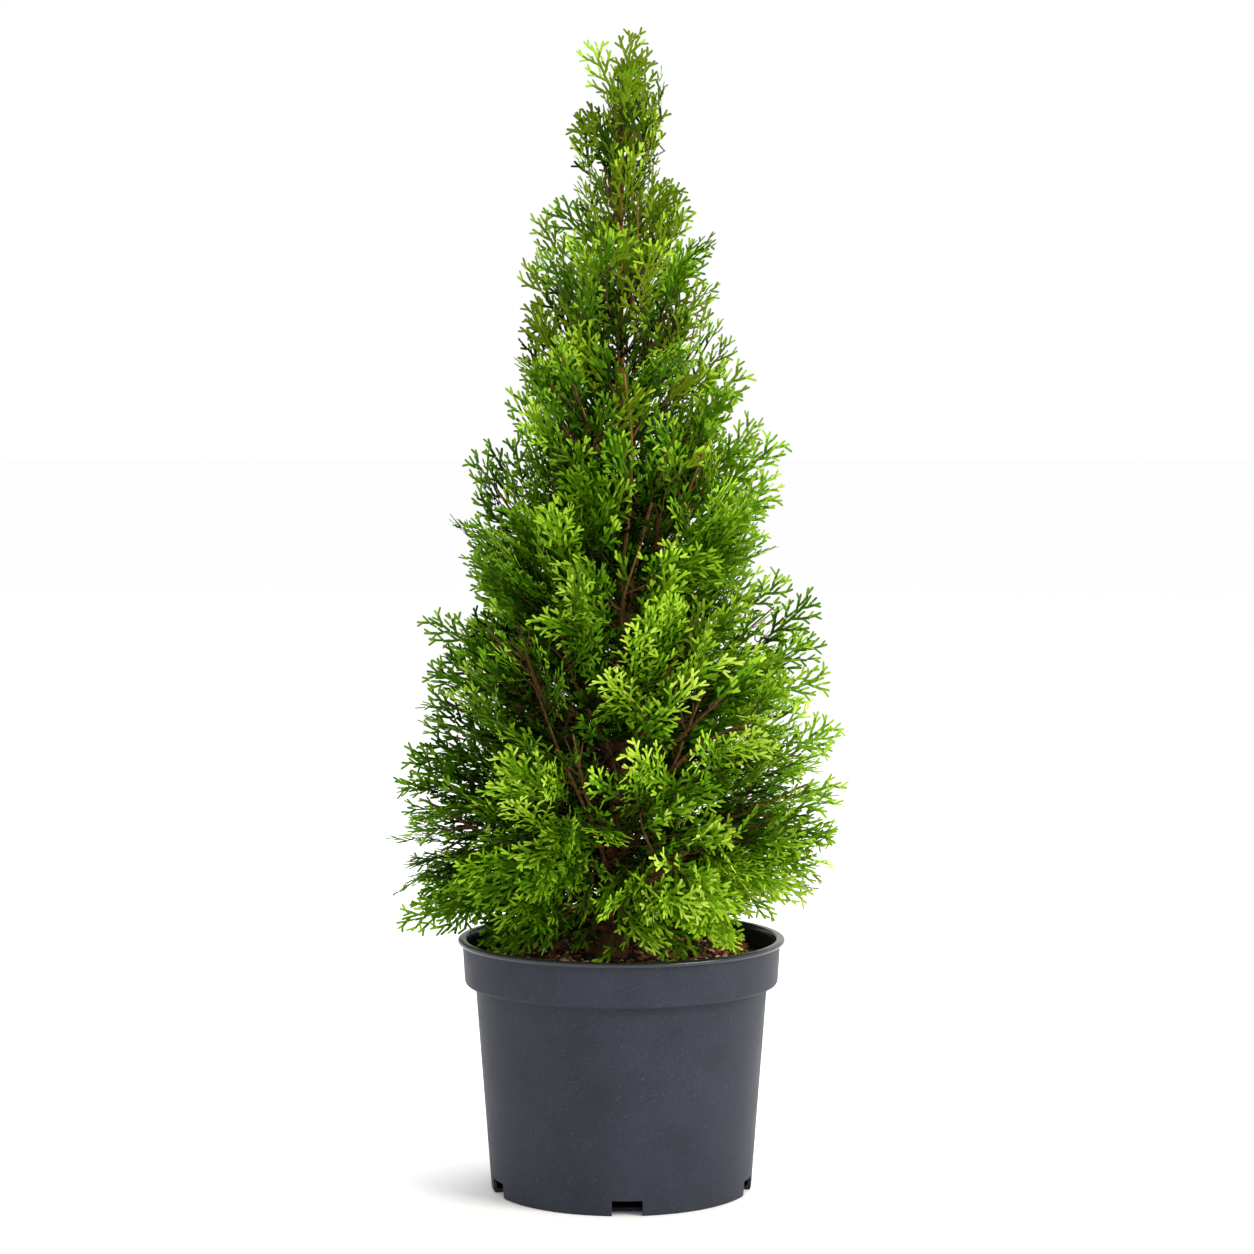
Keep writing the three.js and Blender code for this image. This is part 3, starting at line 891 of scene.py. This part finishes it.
leads, bare, onTrunk = habit["leading"], habit["bareFoot"], habit["onTrunk"]
tips = sprayTips()
tips.sort(key=lambda tip: np.linalg.norm(tip[1] - trunkCentre(tip[1][2])))  # so twigs grow outwards
for name, tip, direction, depth in tips:
    skeleton = skeletons[name]
    length = atHeight(habit["length"], tip[2]) * mm * rng.uniform(0.75, 1.2)
    nearest = min(np.linalg.norm(tip - p) for p in skeleton[0][:boughSteps:3])
    length = min(length, max(nearest * 1.15, 26 * mm))
    fromLimb = unit(tip - skeleton[0][6 if name != "foliage_leader" else 0])
    heading = unit(direction + 0.35 * fromLimb + rng.normal(0, 0.12, 3))
    outermost = depth < leads["within"] * mm and tip[2] < leads["below"] * mm
    leading = outermost and rng.random() < leads["share"]
    if leading:
        # a shoot that runs out past its neighbours
        outward = outwardAt(tip)
        rise = math.radians(atHeight(leads["rise"], tip[2]) + rng.normal(0, 7))
        heading = unit(outward * math.cos(rise) + up * math.sin(rise) + 0.25 * heading)
        room = leads["reach"] * mm - np.linalg.norm(tip[:2])
        further = min(rng.uniform(*leads["past"]) * mm, max(room, 0))
        tip = tip + heading * further
        length += further
    base = tip - heading * length
    along = [base + heading * length * k for k in (0.25, 0.5, 0.75, 1.0)]
    if rng.random() < habit["clearShare"] and hidesLimb(along):
        continue
    if tip[2] < bare["below"] * mm and tip[1] < bare["front"] * mm and rng.random() < bare["share"]:
        continue
    twigs.append(growTwig(skeleton, base, heading))
    addFrond(base, heading, length, depth, leading)


def standOnTrunk(foot, azimuth, lean):
    # the foot and heading of a spray on the trunk, with a stub of twig under it
    place = trunkCentre(foot * mm)
    side = np.array([math.cos(azimuth), math.sin(azimuth), 0])
    twigs.append((np.array([place]), np.array([onTrunk["twig"] * mm])))
    return place, side * math.sin(lean) + up * math.cos(lean)


turn, foot = 0.6, onTrunk["from"]
while foot < onTrunk["to"]:
    lean = math.radians(lookUp(onTrunk["lean"], foot) + rng.normal(0, 8))
    place, heading = standOnTrunk(foot, turn, lean)
    length = lookUp(onTrunk["length"], foot) * mm * rng.uniform(0.8, 1.15)
    addFrond(place, heading, length, depthInCrown(place + heading * length, heading))
    turn += goldenAngle
    foot += onTrunk["step"] * lookUp(onTrunk["closer"], foot) * rng.uniform(0.7, 1.3)
for foot, azimuth, lean, length in habit["leader"]:
    place, heading = standOnTrunk(foot, math.radians(azimuth), math.radians(lean))
    addFrond(place, heading, length * mm, 0.0)
print("sprays:", len(fronds), "of mean length", np.mean([f[3] for f in fronds]) / mm)


# a spray: alternate branchlets in one plane, with branchlets of their own

frondShape = {
    "internode": (5.9, 4.9, 5.2),  # mm between branchlets along an axis, by order
    "width": (2.15, 2.05, 1.9),  # mm across a branchlet, by order
    "spread": 0.42,  # longest side branchlet as a share of the spray
    "widest": 25.0,  # mm, the longest a side branchlet gets
    "angle": 44.0,
    "lengths": (20, 25, 31, 38, 46, 54, 62, 70, 78, 86),  # mm, of the patterns that sprays are laid from
    "patterns": 5,  # of each length
    "seed": 1000,
    "steps": 13,  # points on a spray's spine
    # height in mm, and how much a spray turns up there as it runs out
    "tend": ((170, -0.7), (210, -0.4), (270, 0.1), (360, 0.5), (800, 0.7)),
    # length in mm, and the share of a spray that is bare wood
    "wood": ((25, 0.12), (60, 0.36)),
    "curl": (-9, 5),  # 1/m: the edges fall back from the face, or cup a little
}


def branchlets(length, k):
    # rows of along, across at both ends, width, order, tip, and place on its axis; in mm
    f = frondShape
    rng = np.random.default_rng(f["seed"] + 10 * length + k)
    rows = []

    def shoot(origin, angle, reach, order, side, bend):
        # one axis: a chain of short pieces, with shoots of the next order from its nodes
        count = max(1, int(round(reach / f["internode"][order])))
        step = reach / count
        x, y = origin
        for i in range(count):
            last = i == count - 1
            heading = angle + bend * i / count
            nx = x + step * math.cos(heading)
            ny = y + step * math.sin(heading)
            rows.append((x, y, nx, ny, f["width"][order], order, 1.0 if last else 0.0, (i + 1) / count))
            if not last and order < 2:
                u = (i + 1) / count
                if order == 0:
                    shape = math.sin(math.pi * (0.2 + 0.72 * u)) ** 0.8
                    child = min(f["spread"] * reach, f["widest"]) * shape * rng.uniform(0.8, 1.12)
                else:
                    child = rng.uniform(5.2, 7.6) * (1.15 - 0.35 * u)
                    child *= 1.5 if reach > 15 and i == 0 else 1
                lean = math.radians(f["angle"] - 11 * u + rng.normal(0, 4))
                shoot((nx, ny), heading + side * lean, max(child, 4.8), order + 1, -side, -side * 0.22)
                side = -side
            x, y = nx, ny

    shoot((0.0, 0.0), 0.0, length, 0, 1 if rng.random() < 0.5 else -1, 0.0)
    return np.array(rows)


lengths = frondShape["lengths"]
patterns = {(n, k): branchlets(n, k) for n in lengths for k in range(frondShape["patterns"])}
print("branchlets per spray:", {n: len(patterns[n, 0]) for n in lengths})

leafColours = {
    # from dark to light, colour and specular level, then the one for the top of the plant
    "deep": ("#0f2003", 0.03),
    "shade": ("#233f03", 0.03),
    "leaf": ("#3a6103", 0.04),
    "fresh": ("#5c880a", 0.07),
    "lime": ("#8db422", 0.12),
    "pale": ("#b0cb48", 0.14),
    "olive": ("#5c7408", 0.05),
}
leaf, fresh, pale, olive = (list(leafColours).index(tint) for tint in ("leaf", "fresh", "pale", "olive"))
tintRule = {
    # steps from dark to light
    "middle": 2.65,
    # lighter low in front: young growth and painted light
    "front": 0.8,
    "bySpray": 0.42,
    "byBranchlet": 0.2,
    # height in mm, and how much lighter the ends of branchlets are, as fresh growth and painted highlight,
    # and how much darker the spray's foot, as painted shade
    "tip": ((600, 0.95), (700, 0.5)),
    "foot": ((600, 2.1), (700, 1.6)),
    "olive": ((460, 0), (660, 0.9)),  # height in mm, and the share of sprays with olive in them
}
parts = {key: [] for key in ("place", "heading", "facing", "size", "tint", "tip")}


def tintOf(start, depth):
    # painted shade darkens sprays deep in the crown and on its left, painted light brightens those on its
    # right, and sprays low in front are lime, as young growth and painted light
    # young growth and painted light: lighter low in front
    front = np.clip(-start[1] / 0.09, -0.5, 1) * max(1 - (start[0] / 0.13) ** 2, 0)
    front *= np.interp(start[2], [0.3, 0.6], [1.0, 0.35])
    # painted light on the right side, painted shade on the left
    paintedSideLight = np.clip(start[0] / 0.1, -1, 1) * np.interp(start[2], [0.3, 0.5], [0.65, 0.35])
    # painted shade: darker the deeper a spray sits in the crown
    inside = np.clip(depth / 0.055, 0, 1) * np.interp(start[2], [0.3, 0.5], [2.3, 1.8])
    tint = tintRule["middle"] + tintRule["front"] * front + paintedSideLight - inside
    return tint + rng.normal(0, tintRule["bySpray"])


# leaves keep off the soil and the pot's lip: height over the soil, height and radii round the lip, in mm
potMouth = {"clear": 163.5, "rimTop": 178.0, "inner": 100.0, "outer": 117.0}


def clearOfPot(points):
    r = np.linalg.norm(points[:, :2], axis=1) / mm
    z = points[:, 2] / mm
    wall = (z < potMouth["rimTop"]) & (r > potMouth["inner"]) & (r < potMouth["outer"])
    low = (z < potMouth["clear"]) | (z < potMouth["rimTop"]) & (r >= potMouth["outer"])
    return ~(wall | low)


for index, (start, direction, normal, length, depth) in enumerate(fronds):
    nearest = min(lengths, key=lambda n: abs(n * mm - length))
    rows = patterns[nearest, rng.integers(frondShape["patterns"])]
    scale = length / (nearest * mm)
    mirror = 1 if rng.random() < 0.5 else -1
    # the spray's own spine: it turns up or hangs as it runs out
    steps = frondShape["steps"]
    tend = atHeight(frondShape["tend"], start[2])
    t, n = direction.copy(), normal.copy()
    spine, tangents, normals = [start.copy()], [t], [n]
    wander = rng.normal(0, 0.018, 3)
    for k in range(steps - 1):
        t = unit(t + (up * tend * 0.05 + wander))
        n = unit(n - t * (n @ t))
        spine.append(spine[-1] + t * length / (steps - 1))
        tangents.append(t)
        normals.append(n)
    spine, tangents, normals = (np.array(v) for v in (spine, tangents, normals))
    sides = np.cross(normals, tangents)
    stations = np.linspace(0, length, steps)
    curl = rng.uniform(*frondShape["curl"])

    def lay(along, across):
        # the pattern's points set along the spine, and the way the spray faces there
        s = np.clip(along * scale * mm, 0, length * 1.15)
        w = across * scale * mm * mirror
        past = np.maximum(s - length, 0)[:, None]
        centre, ahead, aside, face = (readOff(s, stations, v) for v in (spine, tangents, sides, normals))
        return centre + ahead * past + aside * w[:, None] + face * (curl * w * w)[:, None], face

    a, face = lay(rows[:, 0], rows[:, 1])
    b, _ = lay(rows[:, 2], rows[:, 3])
    b = b + rng.normal(0, 0.3 * mm, b.shape)
    woodShare = lookUp(frondShape["wood"], length / mm)
    keep = ~((rows[:, 5] == 0) & (rows[:, 7] < woodShare)) & clearOfPot(a) & clearOfPot(b)
    path, thick = twigs[index]
    ends = [int(steps * (woodShare + 0.08) * k / 2 + 0.5) for k in (1, 2)]
    twigs[index] = (np.concatenate([path, spine[ends]]), np.concatenate([thick, [0.52 * mm, 0.4 * mm]]))
    run = b - a
    span = np.linalg.norm(run, axis=1)
    # painted shade darkens a spray's foot; the ends of branchlets are lighter as fresh growth and painted
    # highlight
    foot = (1 - np.clip(rows[:, 0] / nearest, 0, 1)) ** 1.7
    tipGrowthAndLight, footShade = (atHeight(tintRule[key], start[2]) for key in ("tip", "foot"))
    tint = tintOf(start, depth) + tipGrowthAndLight * rows[:, 6] - footShade * foot
    tint = np.clip(np.round(tint + rng.normal(0, tintRule["byBranchlet"], len(rows))), 0, pale).astype(int)
    if rng.random() < atHeight(tintRule["olive"], start[2]):
        tint[(tint == leaf) | (tint == fresh)] = olive
    parts["place"].append(a[keep])
    parts["heading"].append(run[keep] / span[keep, None])
    parts["facing"].append(unit(face + rng.normal(0, 0.14, face.shape))[keep])
    wide = rows[:, 4] * mm * rng.uniform(0.9, 1.1, len(rows))
    parts["size"].append(np.stack([span * 1.05, wide, wide], 1)[keep])
    parts["tint"].append(tint[keep])
    parts["tip"].append(rows[keep, 6] > 0.5)

parts = {key: np.concatenate(value) for key, value in parts.items()}
print("branchlets:", len(parts["tint"]), "tints", np.bincount(parts["tint"]))


def leafShape(name, outline):
    # a branchlet of scale leaves: one metre long, roofed along its middle
    points, faces = [], []
    for x, half, ridge in outline:
        points += [(x, half, 0), (x, 0, ridge), (x, -half, 0)]
    for i in range(len(outline) - 1):
        a = 3 * i
        faces += [(a, a + 1, a + 4, a + 3), (a + 1, a + 2, a + 5, a + 4)]
    return meshObject(name, points, faces)


middleLeaf = leafShape("branchlet", [(0, 0.45, 0.18), (1.0, 0.48, 0.2)])
tipLeaf = leafShape("branchlet tip", [(0, 0.43, 0.16), (0.84, 0.42, 0.2), (1.0, 0.2, 0.1)])

perPiece = {"stems": 40000, "tips": 22000}  # branchlets, so that no piece passes 200,000 triangles
for k, (tint, (colour, specular)) in enumerate(leafColours.items()):
    # living scale leaves: waxy, so a soft shine, over overlapping scales
    material, tree, shader, place = newMaterial(f"thuja scale leaves, {tint}", colour, 0.5, specular)
    scales = addNode(tree, "ShaderNodeTexVoronoi", {"Vector": place, "Scale": 1 / (1.5 * mm)})
    addNode(tree, "ShaderNodeBump", {
        "Height": scales.outputs["Distance"], "Strength": 0.35, "Distance": 0.3 * mm,
    }, into=shader.inputs["Normal"])
    mine = parts["tint"] == k
    for shape, label, wanted in ((middleLeaf, "stems", ~parts["tip"]), (tipLeaf, "tips", parts["tip"])):
        pick = np.flatnonzero(mine & wanted)
        for c in range(0, len(pick), perPiece[label]):
            few = pick[c:c + perPiece[label]]
            where = [parts[key][few] for key in ("place", "heading", "facing", "size")]
            piece = scatter(f"{tint}_{label}_{c // perPiece[label] + 1}", shape, material, *where)
            finishPiece(piece, masses if (tint, label, c) == ("leaf", "tips", 0) else ())
bpy.data.objects.remove(middleLeaf)
bpy.data.objects.remove(tipLeaf)
print("foliage made")


# wood

# stringy red-brown bark in long fibres, greenish in patches and paler on the young stem
barkMaterial, tree, shader, place = newMaterial("fibrous thuja bark", "#6b4326", 0.85, 0.25)
stretched = addNode(tree, "ShaderNodeMapping", {"Vector": place, "Scale": (1, 1, 0.16)})
fibres = addNode(tree, "ShaderNodeTexNoise", {
    "Vector": stretched.outputs[0], "Scale": 1 / (1.6 * mm), "Detail": 4, "Roughness": 0.6,
})
patches = addNode(tree, "ShaderNodeTexNoise", {"Vector": place, "Scale": 1 / (22 * mm), "Detail": 2})
tone = addNode(tree, "ShaderNodeValToRGB", {"Fac": fibres.outputs["Fac"]}, stops=[
    (0.3, linear("#24150a")), (0.5, linear("#5a371c")), (0.7, linear("#8f5f35")),
])
mossy = addNode(tree, "ShaderNodeMapRange", {
    "Value": patches.outputs["Fac"], "From Min": 0.45, "From Max": 0.75, "To Max": 0.4,
})
moss = addNode(tree, "ShaderNodeMix", {
    "Factor": mossy.outputs["Result"], 6: tone.outputs["Color"], 7: linear("#5c5a24"),
}, data_type="RGBA")
height = addNode(tree, "ShaderNodeSeparateXYZ", {0: place})
younger = addNode(tree, "ShaderNodeMapRange", {
    "Value": height.outputs["Z"], "From Min": 0.32, "From Max": 0.52, "To Max": 0.65,
})
bark = addNode(tree, "ShaderNodeMix", {
    "Factor": younger.outputs["Result"], 6: moss.outputs[2], 7: linear("#8c6a2c"),
}, data_type="RGBA")
tree.links.new(bark.outputs[2], shader.inputs["Base Color"])
addNode(tree, "ShaderNodeBump", {
    "Height": fibres.outputs["Fac"], "Strength": 0.8, "Distance": 0.6 * mm,
}, into=shader.inputs["Normal"])

zs = np.linspace(trunkRows[0, 0], trunkRows[-1, 0], trunkShape["steps"])
line = np.array([trunkCentre(z) for z in zs])
radii = np.array([trunkAt(z)[2] for z in zs]) * trunkShape["slim"]
rng = np.random.default_rng(trunkShape["seed"])
points, faces = tube(line, radii, trunkShape["sides"], trunkShape["ridge"], rng)
allPoints, allFaces = [points], list(faces)
count = len(points)
for k, (path, radii, sides) in enumerate(limbs):
    points, faces = tube(path, radii, sides, trunkShape["ridge"], np.random.default_rng(50 + k))
    allPoints.append(points)
    allFaces += [tuple(i + count for i in f) for f in faces]
    count += len(points)
woodPiece = meshObject("trunk_and_boughs", np.concatenate(allPoints), allFaces, barkMaterial)
finishPiece(woodPiece, ["trunk", *boughs])

# smooth brown skin of young twigs, with fine wrinkles
twigMaterial, tree, shader, place = newMaterial("young thuja twigs", "#553619", 0.6, 0.3)
skin = addNode(tree, "ShaderNodeTexNoise", {"Vector": place, "Scale": 1 / (1.2 * mm), "Detail": 2})
addNode(tree, "ShaderNodeBump", {
    "Height": skin.outputs["Fac"], "Strength": 0.4, "Distance": 0.2 * mm,
}, into=shader.inputs["Normal"])

points, edges, thick = [], [], []
for path, radii in twigs:
    first = len(points)
    points += list(path)
    thick += list(radii)
    edges += [(first + i, first + i + 1) for i in range(len(path) - 1)]
holder = meshObject("twig paths", points, [], edges=edges)
attribute = holder.data.attributes.new("thick", "FLOAT", "POINT")
attribute.data.foreach_set("value", np.array(thick, np.float32))
twigPiece = madeBy(tubesOnPaths, holder, "twigs", Material=twigMaterial, Sides=5)
finishPiece(twigPiece)
print("wood made:", len(woodPiece.data.polygons), len(twigPiece.data.polygons))
